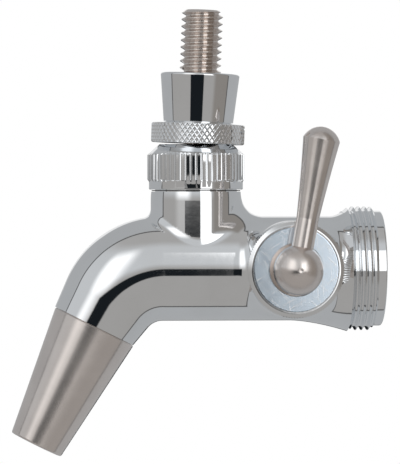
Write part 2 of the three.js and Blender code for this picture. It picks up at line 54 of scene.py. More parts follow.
MM = 0.001
INCH = 25.4
GAP = 0.15  # between a piece and the bore that it sits in
TINY = 1e-6

BARREL_R = 12.0
RIM_X = -7.9
UNDER_FLARE = {"start": -21.0, "rise": 2.5, "power": 1.6}
TOP_FLARE = {"start": -11.8, "rise": 1.95, "power": 2.0}
OUTSIDE = {"x": -50.8, "side": 1, "radius": 23.5, "turn": math.radians(66.8), "straight": 7.1}
INSIDE = {"x": -50.5, "side": -1, "radius": 4.4, "turn": math.radians(50), "straight": 5.26}
ARC_SHARE = 0.8  # of each outline's run round the elbow; the rest of it is straight
NOZZLE = {"x": -66.1, "z": -13.2, "tilt": math.radians(26.4), "length": 30.3, "top": 9.95, "tip": 6.35}
NOZZLE_BORE = {"top": 6.0, "tip": 5.0, "tenon": 7.2, "tenon_length": 5.2}

THREAD_DEPTH = 0.6134  # of a pitch
COUPLING = {"major": 1.125 * INCH / 2, "pitch": INCH / 18, "start": -7.4, "end": -1.9, "lip": 13.25}
SOCKET = {"r": 10.9, "depth": 5.4, "gap_r": 0.62, "tooth_depth": 2.0, "teeth": 24}
MAIN_BORE_R = 7.6
SEAT = {"x": -50.8, "throat": 5.0, "bend_x": -59.55, "bend_r": 5.6}

NECK_X = joints["lever_pivot"]["pos_m"][0] / MM
PIVOT_Z = joints["lever_pivot"]["pos_m"][2] / MM
NECK = {"r": 10.4, "shoulder": 17.7, "spigot": 9.4, "top": 24.4, "bore": 7.8, "floor": 14.2, "slot": 6.2}
NECK_FILLET = {"front": 2.0, "rear": 5.0}
NECK_EASE = {"start": 15.6, "by": 0.12}  # the wall leans in a little towards its shoulder
GASKET = {"bottom": 17.85, "top": 18.05, "inset": 0.2, "bevel": 0.06}
BONNET = {"bottom": 18.2, "collar": 10.8, "flute": 20.15, "r": 11.2, "shoulder": 26.1, "top": 28.6,
          "top_r": 8.6, "hole": 7.3, "bore": 9.6, "ceiling": 25.1}
LEVER_LEAN = math.radians(2.2)
BALL_R = 6.5
SHANK = {"r": 3.2, "step": 12.5}
FINGER = {"r": 2.0, "tip": 2.4, "reach": 19.0, "waist_r": 1.35, "waist": 8.0}
STUD = {"major": 0.375 * INCH / 2, "pitch": INCH / 16, "thread": 24.6, "tip": 40.5, "chamfer": 0.8}

BOSS_X = joints["flow_lever_pivot"]["pos_m"][0] / MM
BOSS = {"r": 10.9, "face": 12.9, "spigot": 10.0, "spigot_top": 14.2, "seat_r": 9.5, "seat": 12.2}
BOSS_FILLET = 5.0
RING = {"r": 11.05, "bottom": 13.05, "top": 15.6, "web": 14.35, "floor": 14.9, "web_r": 7.5, "recess": 9.8}
DISC = {"inner": 6.05, "outer": 9.65, "bottom": 15.05, "top": 15.55, "bevel": 0.08}
CROSS_BORE = {"r": 8.4, "end": -6.5, "journal": 3.2, "journal_end": -9.4}
HUB = {"r": 5.7, "v": 19.7, "neck": 4.6, "shoulder": 14.2, "stem": 1.9, "stem_end": 9.4, "flat": 5.1}
FLOW_LEAN = math.radians(10)
ARM = {"r": 2.55, "straight": 11.8, "top": 30.0, "top_r": 4.2, "bow": 0.42, "dome": 2.9}

SIDES = 144  # of a round piece

# ------------------------------------------------------------------ places


def placed(origin, tilt=0.0, lay=None):
    """The place of a piece made about +Z in millimetres: laid along an axis, tilted about Y, then moved."""
    turn = Matrix.Rotation(tilt, 4, "Y")
    laid = {None: Matrix.Identity(4), "x": Matrix.Rotation(math.pi / 2, 4, "Y"),
            "-y": Matrix.Rotation(math.pi / 2, 4, "X")}[lay]
    return Matrix.Translation(Vector(origin) * MM) @ turn @ laid @ Matrix.Scale(MM, 4)


ALONG_BARREL = placed((0, 0, 0), lay="x")
ON_NECK = placed((NECK_X, 0, 0))
ON_LEVER = placed((NECK_X, 0, PIVOT_Z), LEVER_LEAN)
AT_BOSS = placed((BOSS_X, 0, 0), FLOW_LEAN, "-y")
ON_ARM = placed((BOSS_X, -HUB["v"], 0), FLOW_LEAN)
AT_NOZZLE = placed((NOZZLE["x"], 0, NOZZLE["z"]), NOZZLE["tilt"])
IN_FRAME = placed((0, 0, 0))

# ------------------------------------------------------------------ mesh tools


def mesh_object(name, points, faces, place):
    """A mesh in millimetres becomes an object whose own axes are the piece's, in metres."""
    scale = Matrix.Scale(MM, 4)
    mesh = bpy.data.meshes.new(name)
    mesh.from_pydata([tuple(float(c) for c in p) for p in points], [], [tuple(f) for f in faces])
    mesh.transform(scale)
    mesh.validate()
    piece = bpy.data.objects.new(name, mesh)
    scene.collection.objects.link(piece)
    piece.matrix_world = place @ scale.inverted()
    return piece


def arc(r, h, radius, start, end, steps=8):
    """Points [r, h] on an arc of a turned profile, angles in degrees, 0 pointing away from the axis."""
    angles = np.radians(np.linspace(start, end, steps + 1))
    return [[max(0.0, r + radius * math.cos(a)), h + radius * math.sin(a)] for a in angles]


def held(profile, closed, reach=0.1):
    """Adds a point near both ends of every long straight, so that the shading turns only at corners."""
    out = []
    count = len(profile)
    for i in range(count):
        a = np.array(profile[i], float)
        out.append(a)
        if i + 1 == count and not closed:
            break
        b = np.array(profile[(i + 1) % count], float)
        length = np.linalg.norm(b - a)
        if length > 6 * reach:
            out += [a + (b - a) * reach / length, b - (b - a) * reach / length]
    return out


def turned_mesh(profile, sides=SIDES):
    """Points and faces of a profile of [radius, height] turned about Z."""
    closed = profile[0][0] > 0 and profile[-1][0] > 0
    profile = held(profile, closed)
    angles = np.linspace(0, 2 * math.pi, sides, endpoint=False)
    points, rings = [], []
    for r, h in profile:
        if r < TINY:
            rings.append([len(points)] * sides)
            points.append((0.0, 0.0, h))
            continue
        rings.append(list(range(len(points), len(points) + sides)))
        points += list(zip(r * np.cos(angles), r * np.sin(angles), np.full(sides, h)))
    faces = []
    pairs = list(zip(rings, rings[1:] + rings[:1])) if closed else list(zip(rings, rings[1:]))
    for low, high in pairs:
        for j in range(sides):
            k = (j + 1) % sides
            face = []
            for v in (low[j], low[k], high[k], high[j]):
                if v not in face:
                    face.append(v)
            if len(face) > 2:
                faces.append(face)
    area = sum(a[0] * b[1] - b[0] * a[1] for a, b in zip(profile, profile[1:] + profile[:1]))
    if area < 0:
        faces = [face[::-1] for face in faces]
    return points, faces


def turned(name, profile, place, sides=SIDES):
    return mesh_object(name, *turned_mesh(profile, sides), place)


def rod(name, r, start, end, place, sides=SIDES):
    return turned(name, [[0, start], [r, start], [r, end], [0, end]], place, sides)


def tube(name, inner, outer, start, end, place, bevel=0.0, sides=SIDES):
    """A short tube with slightly rounded edges."""
    corners = [(inner, start, 1, 1), (outer, start, -1, 1), (outer, end, -1, -1), (inner, end, 1, -1)]
    angles = [(180, 270), (270, 360), (0, 90), (90, 180)]
    profile = []
    for (r, h, dr, dh), (a, b) in zip(corners, angles):
        profile += arc(r + dr * bevel, h + dh * bevel, bevel, a, b, 3) if bevel else [[r, h]]
    return turned(name, profile, place, sides)


def block(name, low, high, place):
    xs, ys, zs = zip(low, high)
    points = [(x, y, z) for x in xs for y in ys for z in zs]
    faces = [(0, 1, 3, 2), (4, 6, 7, 5), (0, 4, 5, 1), (2, 3, 7, 6), (0, 2, 6, 4), (1, 5, 7, 3)]
    return mesh_object(name, points, faces, place)


def combine(piece, others, operation):
    """Joins, cuts or intersects a piece with others, which are used up."""
    for other in others:
        modifier = piece.modifiers.new("with_" + other.name, "BOOLEAN")
        modifier.operation = operation
        modifier.solver = "MANIFOLD"
        modifier.object = other
    bpy.context.view_layer.update()
    graph = bpy.context.evaluated_depsgraph_get()
    made = bpy.data.meshes.new_from_object(piece.evaluated_get(graph))
    piece.modifiers.clear()
    old = piece.data
    piece.data = made
    made.name = piece.name
    bpy.data.meshes.remove(old)
    for other in others:
        mesh = other.data
        bpy.data.objects.remove(other)
        bpy.data.meshes.remove(mesh)
    if not len(made.vertices):
        raise ValueError(piece.name + " came out empty")
    return piece


def smooth(piece, sharp=32):
    """Shades a piece smooth, with an edge wherever its faces meet at more than so many degrees."""
    mesh = piece.data
    mesh.polygons.foreach_set("use_smooth", [True] * len(mesh.polygons))
    mesh.set_sharp_from_angle(angle=math.radians(sharp))
    return piece


def finish(piece, material, slot, body, *nodes):
    """Gives a piece its material and its body, and hides the CAD nodes that it stands for."""
    piece.data.materials.clear()
    piece.data.materials.append(material)
    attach(piece, body)
    if nodes:
        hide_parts(*nodes)
    return piece


def thread(name, size, start, end, place, sides=96):
    """A closed right-hand 60 degree thread about Z, a little longer than asked for."""
    pitch, major = size["pitch"], size["major"]
    minor = major - THREAD_DEPTH * pitch

    # the root and the crest of one turn: its share of the pitch, and its radius
    rows = [(0, minor), (0.083, minor - 0.01 * pitch), (0.167, minor)]
    rows += [(0.521, major - 0.012 * pitch), (0.545, major), (0.622, major), (0.646, major - 0.012 * pitch)]
    per = len(rows)
    count = per * math.ceil((end - start) / pitch + 3)
    first = start - 1.5 * pitch
    points = []
    for k in range(count):
        phase, r = rows[k % per]
        for j in range(sides):
            a = 2 * math.pi * j / sides
            height = first + pitch * (k // per + phase + j / sides)
            points.append((r * math.cos(a), r * math.sin(a), height))

    def at(k, j):
        return k * sides + j if j < sides else (k + per) * sides

    faces = []
    for k in range(count - 1):
        columns = sides if k + 1 + per < count else sides - 1
        faces += [(at(k, j), at(k, j + 1), at(k + 1, j + 1), at(k + 1, j)) for j in range(columns)]
    top = count - 1
    low = [at(0, j) for j in range(sides)] + [at(k, 0) for k in range(per, 0, -1)]
    high = [at(top, j) for j in range(sides)] + [at(top - k, sides - 1) for k in range(1, per + 1)]
    foot, head = len(points), len(points) + 1
    points += [(0, 0, first - pitch), (0, 0, first + pitch * (count / per + 1))]
    faces += [(foot, low[(i + 1) % len(low)], low[i]) for i in range(len(low))]
    faces += [(head, high[i], high[(i + 1) % len(high)]) for i in range(len(high))]
    return mesh_object(name, points, faces, place)


# ------------------------------------------------------------------ the cast body, as a distance field

FIELD_END = RIM_X + 4  # the field runs on past the rim and past the nozzle's seam, where it is cut
U_END = 2.25
BEYOND = 5.0  # the distance given where there is no section
NET_STEP = 0.45


def edge_of(u, line):
    """A point on the body's upper or lower outline: u runs 0..1 along the barrel and on round the elbow."""
    side = line["side"]
    flare = UNDER_FLARE if side < 0 else TOP_FLARE
    x = FIELD_END + (line["x"] - FIELD_END) * np.minimum(u, 1)
    widened = np.maximum(0, x - flare["start"]) / (RIM_X - flare["start"])
    z = side * (BARREL_R + flare["rise"] * widened ** flare["power"])
    share = np.maximum(0, u - 1)
    angle = line["turn"] * np.minimum(1, share / ARC_SHARE)
    beyond = line["straight"] * np.maximum(0, share - ARC_SHARE) / (1 - ARC_SHARE)
    x = x - line["radius"] * np.sin(angle) - beyond * math.cos(line["turn"])
    z = z - line["radius"] * (1 - np.cos(angle)) - beyond * math.sin(line["turn"])
    return x, z


def section(u):
    """Centre, direction and radius of the round section between the two outlines."""
    ox, oz = edge_of(u, OUTSIDE)
    ix, iz = edge_of(u, INSIDE)
    length = np.hypot(ox - ix, oz - iz)
    return (ox + ix) / 2, (oz + iz) / 2, (ox - ix) / length, (oz - iz) / length, length / 2


def off_section(u, x, z):
    cx, cz, dx, dz, _ = section(u)
    return (x - cx) * dz - (z - cz) * dx


class SweptBody:
    """Finds which section a point lies on, from a coarse table made once."""

    STEP = 0.5
    SAMPLES = 420

    def __init__(self, xs, zs):
        self.low = (xs[0], zs[0])
        u = np.linspace(0, U_END, self.SAMPLES)
        cx, cz, dx, dz, r = section(u)
        self.guess = np.empty((len(xs), len(zs)))
        for i, x in enumerate(xs):
            along = (x - cx) * dx + (zs[:, None] - cz) * dz
            off = (x - cx) * dz - (zs[:, None] - cz) * dx
            crossed = off[:, 1:] * off[:, :-1] <= 0
            cost = np.where(crossed, np.abs(along[:, 1:]) - r[1:], np.inf)
            best = np.argmin(cost, axis=1)
            found = np.isfinite(np.min(cost, axis=1))
            self.guess[i] = np.where(found, u[best], np.nan)

    def __call__(self, x, y, z):
        shape = np.broadcast(x, z).shape
        x, z = np.broadcast_to(x, shape), np.broadcast_to(z, shape)
        i = np.clip(np.rint((x - self.low[0]) / self.STEP).astype(int), 0, self.guess.shape[0] - 1)
        k = np.clip(np.rint((z - self.low[1]) / self.STEP).astype(int), 0, self.guess.shape[1] - 1)
        u = self.guess[i, k]
        nudge, stride = 1e-5, 0.05
        for _ in range(4):
            off = off_section(u, x, z)
            slope = (off_section(u + nudge, x, z) - off) / nudge
            u = np.clip(u - np.clip(off / slope, -stride, stride), 0, U_END)
        cx, cz, dx, dz, r = section(u)
        along = (x - cx) * dx + (z - cz) * dz
        reach = np.hypot(along, y)
        distance = np.where(np.isnan(u), BEYOND, reach - r)
        reach = np.maximum(reach, TINY)
        return distance, (along * dx / reach, y / reach, along * dz / reach)


def filleted(a, b, normals, r):
    """The union of two distance fields, with the fillet that a rolling ball of radius r would leave."""
    nearly = 0.999
    cosine = np.clip(sum(p * q for p, q in zip(*normals)), -nearly, nearly)
    p, q = r - a, r - b
    within = (p > cosine * q) & (q > cosine * p) & (p > 0) & (q > 0)
    from_centre = np.sqrt(np.maximum(0, p * p + q * q - 2 * p * q * cosine) / (1 - cosine**2))
    return np.where(within, r - from_centre, np.minimum(a, b))


def body_field(x, y, z, swept):
    main, main_normal = swept(x, y, z)

    # the boss's wall leans in where it is too low for the whole fillet, so that its rim stays round
    r = BOSS_FILLET
    reach = np.maximum(np.hypot(x - BOSS_X, z), TINY)
    wall_normal = ((x - BOSS_X) / reach, 0 * y, z / reach)
    rim_x, rim_z = BOSS_X + BOSS["r"] * wall_normal[0], BOSS["r"] * wall_normal[2]
    wall_height, rim_normal = swept(rim_x, -BOSS["face"], rim_z)
    cosine = rim_normal[0] * wall_normal[0] + rim_normal[2] * wall_normal[2]
    short = np.minimum(r, r - wall_height)
    lean = r - cosine * short - np.sqrt((1 - cosine**2) * np.maximum(0, r**2 - short**2))
    boss = reach - BOSS["r"] + np.where(short > cosine * r, lean, 0)
    whole = np.where(y < 0, filleted(main, boss, (main_normal, wall_normal), r), main)

    across = np.maximum(np.hypot(x - NECK_X, y), TINY)
    up_wall = (z - NECK_EASE["start"]) / (NECK["shoulder"] - NECK_EASE["start"])
    neck = across - NECK["r"] + NECK_EASE["by"] * np.clip(up_wall, 0, 1.5) ** 2
    neck_normal = ((x - NECK_X) / across, y / across, 0)
    towards_rear = np.clip((x - NECK_X) / NECK["r"], -1, 1)
    middle = (NECK_FILLET["front"] + NECK_FILLET["rear"]) / 2
    swing = (NECK_FILLET["rear"] - NECK_FILLET["front"]) / 2
    joined = filleted(whole, neck, (main_normal, neck_normal), middle + swing * towards_rear)
    return np.where(z > 0, joined, whole)


def net_of(values, low, step):
    """Surface nets: one point in every cell that the surface passes through, joined by quads."""
    inside = values < 0
    cells = np.array(values.shape) - 1
    total = np.zeros((cells.prod(), 3))
    count = np.zeros(cells.prod())
    quads = []
    for axis in range(3):
        ahead = np.roll(np.arange(3), -axis)
        first = np.take(values, range(cells[axis]), axis)
        second = np.take(values, range(1, cells[axis] + 1), axis)
        at = np.argwhere((first < 0) != (second < 0))
        a, b = first[tuple(at.T)], second[tuple(at.T)]
        crossing = at.astype(float)
        crossing[:, axis] += a / (a - b)
        side = ahead[1:]
        around = []
        for move in ((0, 0), (1, 0), (1, 1), (0, 1)):
            cell = at.copy()
            cell[:, side[0]] -= move[0]
            cell[:, side[1]] -= move[1]
            fits = np.all((cell >= 0) & (cell < cells), axis=1)
            index = np.ravel_multi_index(np.clip(cell, 0, cells - 1).T, cells)
            np.add.at(total, index[fits], crossing[fits])
            np.add.at(count, index[fits], 1)
            around.append(np.where(fits, index, -1))
        quad = np.stack(around, axis=1)
        leaves = inside[tuple(at.T)]
        quad[~leaves] = quad[~leaves][:, ::-1]
        quads.append(quad[np.all(quad >= 0, axis=1)])
    quads = np.concatenate(quads)
    used = np.flatnonzero(count)
    number = np.full(len(count), -1)
    number[used] = np.arange(len(used))
    return total[used] / count[used][:, None] * step + low, number[quads]


def gradient(field, p, reach=0.02):
    steps = np.eye(3) * reach
    return np.stack([(field(p + s) - field(p - s)) / (2 * reach) for s in steps], axis=1)


def settle(field, points, quads, rounds=6, pull=0.6):
    """Evens out the net and brings its points onto the surface."""
    ends = np.concatenate([quads[:, [i, (i + 1) % 4]] for i in range(4)])
    ends = np.concatenate([ends, ends[:, ::-1]])
    share = np.bincount(ends[:, 0], minlength=len(points))[:, None]
    for turn in range(rounds + 2):
        if turn < rounds:
            sums = [np.bincount(ends[:, 0], points[ends[:, 1], c], len(points)) for c in range(3)]
            points = points * (1 - pull) + np.stack(sums, axis=1) / share * pull
        slope = gradient(field, points)
        steep = np.maximum(np.sum(slope**2, axis=1), 0.25)
        points = points - slope * (field(points) / steep)[:, None]
    return points


def cut_and_close(mesh, point, normal):
    """Cuts away what lies ahead of a plane, all in metres, and closes the hole with one face."""
    on_plane, near_plane, merged = 0.001 * MM, 0.01 * MM, 0.02 * MM
    bm = bmesh.new()
    bm.from_mesh(mesh)
    everything = bm.verts[:] + bm.edges[:] + bm.faces[:]
    bmesh.ops.bisect_plane(bm, geom=everything, plane_co=point, plane_no=normal, clear_outer=True)
    rim = [v for v in bm.verts if abs((v.co - point).dot(normal)) < on_plane]
    bmesh.ops.remove_doubles(bm, verts=rim, dist=merged)
    following = {}
    for edge in bm.edges:
        if edge.is_boundary and all(abs((v.co - point).dot(normal)) < near_plane for v in edge.verts):
            loop = edge.link_loops[0]
            following[loop.link_loop_next.vert] = loop.vert
    while following:
        start, here = following.popitem()
        ring = [start]
        while here is not start:
            ring.append(here)
            here = following.pop(here)
        bm.faces.new(ring)
    bm.to_mesh(mesh)
    bm.free()


def cast_skin(box):
    """The outside of the body: barrel, elbow, neck and boss, still solid."""
    axes = [np.arange(low, high, NET_STEP) for low, high in box]
    coarse = [np.arange(low - 1, high + 1, SweptBody.STEP) for low, high in box]
    swept = SweptBody(coarse[0], coarse[2])

    def field(p):
        return body_field(p[:, 0], p[:, 1], p[:, 2], swept)

    grid = body_field(axes[0][:, None, None], axes[1][None, :, None], axes[2][None, None, :], swept)
    points, quads = net_of(grid, [a[0] for a in axes], NET_STEP)
    points = settle(field, points, quads)
    return points, quads, field


def faucet_body():
    """The casting, with its passages, spigots and threaded coupling."""
    boss_end, far_side = 15.5, 15.6
    elbow_end, elbow_foot = -84.5, -26.5
    box = [(elbow_end, RIM_X + 1), (-boss_end - 0.8, far_side), (elbow_foot, NECK["shoulder"] + 1.2)]
    points, quads, field = cast_skin(box)
    body = mesh_object("faucet_casting", points, quads, IN_FRAME)
    along_nozzle = Vector((-math.sin(NOZZLE["tilt"]), 0, -math.cos(NOZZLE["tilt"])))
    for point, normal in (
        ((RIM_X, 0, 0), (1, 0, 0)),
        ((0, -boss_end, 0), (0, -1, 0)),
        ((0, 0, NECK["shoulder"]), (0, 0, 1)),
        ((NOZZLE["x"], 0, NOZZLE["z"]), along_nozzle),
    ):
        cut_and_close(body.data, Vector(point) * MM, Vector(normal))

    spotface = 0.45
    face_cutter = rod("boss_face", BOSS["r"] + spotface, BOSS["face"], boss_end + 1, AT_BOSS)
    combine(body, [face_cutter], "DIFFERENCE")
    combine(body, [
        rod("neck_spigot", NECK["spigot"], NECK["shoulder"] - 2, NECK["top"], ON_NECK),
        rod("boss_spigot", BOSS["spigot"], BOSS["face"] - 2, BOSS["spigot_top"], AT_BOSS),
        coupling(),
    ], "UNION")
    combine(body, [
        rod("main_bore", MAIN_BORE_R, SEAT["x"], 5, ALONG_BARREL),
        rod("throat", SEAT["throat"], SEAT["bend_x"], SEAT["x"] + 1, ALONG_BARREL),
        turned("bend", arc(0, 0, SEAT["bend_r"], -90, 90, 24), placed((SEAT["bend_x"], 0, 0))),
        rod("spout_bore", SEAT["throat"], -3, 15, AT_NOZZLE),
        rod("tenon_socket", NOZZLE_BORE["tenon"] + GAP, -3, NOZZLE_BORE["tenon_length"] + GAP, AT_NOZZLE),
        rod("neck_bore", NECK["bore"], NECK["floor"], NECK["top"] + 3, ON_NECK),
        rod("finger_slot", NECK["slot"], 0, NECK["floor"] + 1, ON_NECK),
        rod("boss_seat", BOSS["seat_r"], BOSS["seat"], BOSS["spigot_top"] + 3, AT_BOSS),
        rod("cross_bore", CROSS_BORE["r"], CROSS_BORE["end"], BOSS["seat"] + 1, AT_BOSS),
        rod("journal", CROSS_BORE["journal"], CROSS_BORE["journal_end"], 0, AT_BOSS),
    ], "DIFFERENCE")
    smooth(body)
    follow_field(body, field)
    return body


def follow_field(body, field):
    """Where the skin is part of the field, its shading follows the field exactly."""
    on_skin, sliver_area, least_cosine = 0.02, 0.03 * MM**2, 0.5
    mesh = body.data
    points = np.empty(len(mesh.vertices) * 3)
    mesh.vertices.foreach_get("co", points)
    points = points.reshape(-1, 3) / MM
    corner = np.empty(len(mesh.loops), int)
    mesh.loops.foreach_get("vertex_index", corner)
    shading = np.empty(len(mesh.loops) * 3)
    mesh.corner_normals.foreach_get("vector", shading)
    shading = shading.reshape(-1, 3)
    exact = gradient(field, points)
    exact /= np.linalg.norm(exact, axis=1)[:, None]
    close = np.abs(field(points)) < on_skin
    faces = mesh.polygons
    totals = np.array([face.loop_total for face in faces])
    starts = np.array([face.loop_start for face in faces])
    all_close = np.repeat(np.minimum.reduceat(close[corner], starts), totals)
    facing = np.repeat([face.normal[:] for face in faces], totals, axis=0)
    sliver = np.repeat([face.area for face in faces], totals) < sliver_area
    agrees = all_close & (sliver | (np.sum(exact[corner] * facing, axis=1) > least_cosine))
    shading[agrees] = exact[corner][agrees]
    mesh.normals_split_custom_set(shading.tolist())


def coupling():
    """The threaded end, its lip and its toothed socket, about the barrel's axis."""
    size, lip = COUPLING, COUPLING["lip"]
    core = size["major"] - THREAD_DEPTH * size["pitch"]
    start, end, chamfer = size["start"], size["end"], 0.35
    overlap, relief, proud = 1.2, 0.3, 0.05
    collar = turned("coupling", [
        [0, RIM_X - overlap], [core - relief, RIM_X - overlap], [core - relief, start - relief],
        [core + proud, start], [core + proud, end], [lip, end],
        *arc(lip - chamfer, -chamfer, chamfer, 0, 90, 4), [0, 0],
    ], ALONG_BARREL)
    outer, run_in, run_out = size["major"] + 0.1, 0.55, 0.7
    envelope = turned("coupling_envelope", [
        [0, start], [core, start], [outer, start + run_in], [outer, end - run_out], [core, end], [0, end],
    ], ALONG_BARREL)
    screw = thread("coupling_thread", size, start, end, ALONG_BARREL, SIDES)
    combine(screw, [envelope], "INTERSECT")
    combine(collar, [screw], "UNION")
    teeth = []
    for i in range(SOCKET["teeth"]):
        turn = 2 * math.pi * i / SOCKET["teeth"]
        centre = (SOCKET["r"] * math.cos(turn), SOCKET["r"] * math.sin(turn), 0)
        place = ALONG_BARREL @ Matrix.Translation(centre)
        teeth.append(rod(f"tooth_gap_{i}", SOCKET["gap_r"], -SOCKET["tooth_depth"], 1, place, 12))
    combine(collar, [rod("socket", SOCKET["r"], -SOCKET["depth"], 1, ALONG_BARREL), *teeth], "DIFFERENCE")
    return collar


# ------------------------------------------------------------------ fluted and knurled bars


def fluted(name, r, depth, flutes, crest, low, high, place):
    """A bar with rounded grooves along it; crest is the share of each pitch that stays round."""
    groove_steps, crest_steps = 6, 3
    outline = []
    for i in range(flutes):
        for k in range(groove_steps):
            t = k / groove_steps
            outline.append(((i + t * (1 - crest)) / flutes, r - depth * math.sin(math.pi * t) ** 0.8))
        for k in range(crest_steps):
            outline.append(((i + 1 - crest + crest * k / crest_steps) / flutes, r))
    around = [(2 * math.pi * t, q) for t, q in outline]
    points = [(q * math.cos(a), q * math.sin(a), h) for h in (low, high) for a, q in around]
    n = len(outline)
    faces = [(j, (j + 1) % n, n + (j + 1) % n, n + j) for j in range(n)]
    faces += [tuple(range(n))[::-1], tuple(range(n, 2 * n))]
    return mesh_object(name, points, faces, place)


def diamond_knurled(name, r, depth, around, height, flat, low, rows, place):
    """A bar covered in flat-topped diamonds; flat is the share of a diamond that keeps the full radius."""
    columns, levels = 2 * around, 2 * rows

    def at(q, i, k):
        angle = math.pi * i / around
        return (q * math.cos(angle), q * math.sin(angle), low + k * height / 2)

    corner, points = {}, []
    for k in range(levels + 1):
        for i in range(k % 2, columns, 2):
            corner[i, k] = len(points)
            points.append(at(r - depth, i, k))
    faces = []
    for k in range(1, levels):
        for i in range((k + 1) % 2, columns, 2):
            spots = [((i + 1) % columns, k), (i, k + 1), ((i - 1) % columns, k), (i, k - 1)]
            rim = [corner[spot] for spot in spots]
            top = [len(points) + n for n in range(4)]
            points += [at(r, i + flat, k), at(r, i, k + flat), at(r, i - flat, k), at(r, i, k - flat)]
            faces.append(tuple(top))
            faces += [(rim[n], rim[(n + 1) % 4], top[(n + 1) % 4], top[n]) for n in range(4)]
    foot, head = len(points), len(points) + 1
    points += [(0, 0, low), (0, 0, low + levels * height / 2)]
    bottom = [corner[i, i % 2] for i in range(columns)]
    upper = [corner[i, levels - i % 2] for i in range(columns)]
    faces += [(foot, bottom[(i + 1) % columns], bottom[i]) for i in range(columns)]
    faces += [(head, upper[i], upper[(i + 1) % columns]) for i in range(columns)]
    return mesh_object(name, points, faces, place)


# ------------------------------------------------------------------ the other pieces


def nozzle():
    n, b = NOZZLE, NOZZLE_BORE
    end, lip, mouth, straight_bore = -n["length"], 0.5, 0.35, 6
    seam, bevel, bevel_foot = -0.05, 0.25, -0.35
    slope = math.degrees(math.atan2(n["top"] - n["tip"], n["length"]))
    return turned("nozzle_satin", [
        [b["top"], b["tenon_length"]], [b["tip"], end + straight_bore],
        *arc(b["tip"] + mouth, end + mouth, mouth, 180, 270, 4),
        *arc(n["tip"] - lip, end + lip, lip, 270, 360 - slope, 6), [n["top"], bevel_foot],
        [n["top"] - bevel, seam], [b["tenon"], seam], [b["tenon"], b["tenon_length"]],
    ], AT_NOZZLE)


def bonnet():
    b = BONNET
    foot, foot_r, proud = b["flute"] - 0.5, 0.62, 0.02
    edge, lip = 0.3, 0.2
    bar = fluted("bonnet_fluted", b["r"], depth=0.5, flutes=56, crest=0.45,
                 low=b["flute"] - 0.6, high=b["top"] + 1, place=ON_NECK)
    cone = turned("bonnet_cone", [
        [0, foot], [b["collar"] - 0.1, foot], *arc(b["r"] - 0.6, b["flute"] + 0.55, foot_r, -60, 0, 5),
        [b["r"] + proud, b["shoulder"]], *arc(b["top_r"] - edge, b["top"] - edge, edge, 45, 90, 4),
        [0, b["top"]],
    ], ON_NECK)
    collar = turned("bonnet_collar", [
        [0, b["bottom"]], *arc(b["collar"] - lip, b["bottom"] + lip, lip, 270, 360, 4),
        [b["collar"], b["flute"] + 0.2], [0, b["flute"] + 0.2],
    ], ON_NECK)
    combine(bar, [cone], "INTERSECT")
    combine(bar, [collar], "UNION")
    combine(bar, [
        rod("bonnet_bore", b["bore"], b["bottom"] - 1, b["ceiling"], ON_NECK),
        rod("bonnet_hole", b["hole"], b["ceiling"] - 1, b["top"] + 1, ON_NECK),
    ], "DIFFERENCE")
    return smooth(bar, 25)


def lever():
    """The stainless rod through the ball: finger below, shank and stud above."""
    major, start, tip, chamfer = STUD["major"], STUD["thread"], STUD["tip"], STUD["chamfer"]
    core = major - THREAD_DEPTH * STUD["pitch"] - 0.05
    core_top = tip - 0.5
    ball_foot, ball_head = -6.3, 5.8
    waist = FINGER["waist"] - FINGER["reach"]
    sides = 96
    piece = turned("lever_rod", [
        [0, -FINGER["reach"] - FINGER["tip"]], *arc(0, -FINGER["reach"], FINGER["tip"], -80, 57, 16),
        [FINGER["waist_r"], waist], [FINGER["r"], waist + 0.6], [FINGER["r"], ball_foot],
        *arc(0, 0, BALL_R, -71, 60, 32), [SHANK["r"], ball_head], [SHANK["r"], SHANK["step"]],
        [major, SHANK["step"]], [major, start], [core, start + 0.3], [core, core_top], [0, core_top],
    ], ON_LEVER, sides)
    screw = thread("lever_stud_thread", STUD, start, tip, ON_LEVER, sides)
    clear, edge = 0.1, 0.25
    envelope = turned("stud_envelope", [
        [0, start + clear], [major + clear, start + clear], [major + clear, tip - chamfer - clear],
        [major - chamfer, tip - 0.15], *arc(major - chamfer - 0.3, tip - edge, edge, 40, 90, 3), [0, tip],
    ], ON_LEVER)
    combine(screw, [envelope], "INTERSECT")
    combine(piece, [screw], "UNION")
    return smooth(piece)


def jacket():
    """The polished sleeve, which widens upwards, with a tail that goes into the lock ring."""
    low, high, bottom, top, edge = 14.5, 25.9, 8.0, 9.05, 0.5
    bore, tail_r, tail = 4.95, 6.0, 12.45
    foot_edge, mouth = 0.25, 0.3
    slope = math.degrees(math.atan2(top - bottom, high - low))
    return turned("jacket_polished", [
        [bore, tail], [tail_r, tail], [tail_r, low], [bottom - foot_edge, low], [bottom, low + foot_edge],
        *arc(top - edge, high - edge, edge, slope - 5, 90, 6),
        *arc(bore + mouth, high - mouth, mouth, 90, 180, 3),
    ], ON_LEVER)


def lock_ring():
    r, low, high, chamfer = 10.75, 9.75, 14.35, 0.5
    dish_r, dish, bore = 9.45, 12.3, 6.2
    proud = 0.08
    ring = diamond_knurled("lock_ring_knurled", r + proud, depth=0.42, around=58, height=1.62, flat=0.40,
                           low=low - 1.0, rows=4, place=ON_LEVER)
    smooth_bar = turned("lock_ring_envelope", [
        [0, low], *arc(r - chamfer, low + chamfer, chamfer, 270, 345, 6),
        *arc(r - chamfer, high - chamfer, chamfer, 15, 90, 6), [0, high],
    ], ON_LEVER)
    combine(ring, [smooth_bar], "INTERSECT")
    combine(ring, [
        rod("lock_ring_bore", bore, low - 1, high + 1, ON_LEVER),
        rod("lock_ring_dish", dish_r, low - 1, dish, ON_LEVER),
    ], "DIFFERENCE")
    return smooth(ring, 20)


